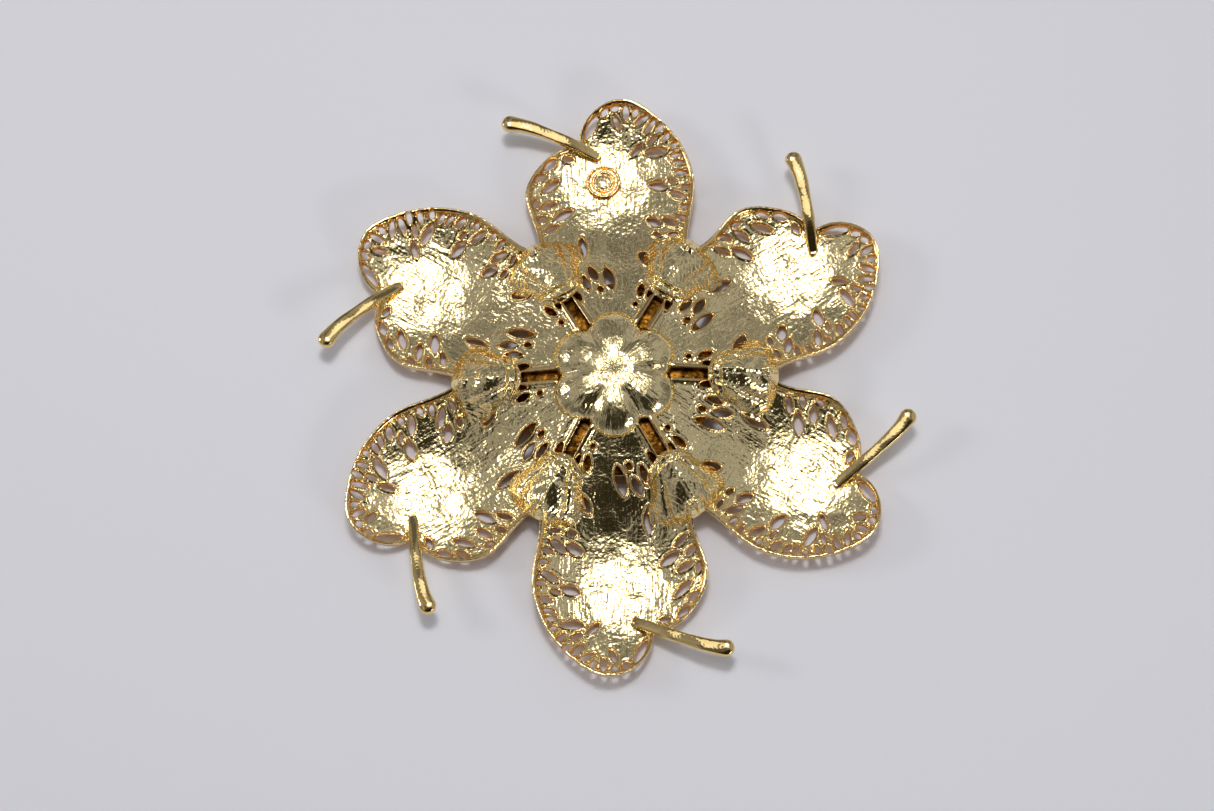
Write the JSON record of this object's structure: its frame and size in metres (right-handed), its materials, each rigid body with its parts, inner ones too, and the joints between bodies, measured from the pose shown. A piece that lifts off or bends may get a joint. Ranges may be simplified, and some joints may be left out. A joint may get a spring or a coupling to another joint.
{
  "type": "brooch",
  "caption": "Open-work flower brooch: cupped heart-shaped leaves with pierced borders and club stems round a lobed dome, with a bar pin and safety catch behind.",
  "frame": {"origin": "middle of the brooch on the plane its leaf bellies rest on", "axes": "+Z from the back to the decorated face; +Y along leaf_1, up when worn; +X along the shut pin, to its point"},
  "size_m": [0.0924, 0.0928, 0.0099],
  "materials": {
    "gilt_brushed": "brushed and pierced cast leaf, gold plated",
    "gilt_hammered": "fine hammered, gold plated",
    "gilt_polished": "polished, gold plated",
    "pin_steel": "polished steel pin, gold plated"
  },
  "bodies": {
    "flower": {"leaf_1": "gilt_brushed", "leaf_2": "gilt_brushed", "leaf_3": "gilt_brushed", "leaf_4": "gilt_brushed", "leaf_5": "gilt_brushed", "leaf_6": "gilt_brushed", "stem_1": "gilt_polished", "stem_2": "gilt_polished", "stem_3": "gilt_polished", "stem_4": "gilt_polished", "stem_5": "gilt_polished", "stem_6": "gilt_polished", "bridge_1": "gilt_hammered", "bridge_2": "gilt_hammered", "bridge_3": "gilt_hammered", "bridge_4": "gilt_hammered", "bridge_5": "gilt_hammered", "bridge_6": "gilt_hammered", "centre_dome": "gilt_hammered", "leaf_badge": "gilt_polished", "hub_plate": "gilt_brushed", "centre_post": "gilt_brushed", "pin_bar": "gilt_brushed", "bar_rivet_left": "gilt_brushed", "bar_rivet_right": "gilt_brushed", "hinge_bracket": "gilt_polished", "hinge_rivet": "gilt_polished", "catch_base": "gilt_polished"},
    "pin": {"pin_stem": "pin_steel"},
    "catch": {"catch_rotor": "gilt_polished"}
  },
  "joints": [
    {"name": "pin_swing", "type": "hinge", "parent": "flower", "child": "pin", "pos_m": [-0.0107, 0.0045, 0.0021], "axis": [0, 1, 0], "range_deg": [0, 110]},
    {"name": "catch_turn", "type": "hinge", "parent": "flower", "child": "catch", "pos_m": [0.0104, 0.0045, 0.0021], "axis": [-1, 0, 0], "range_deg": [0, 120]}
  ]
}
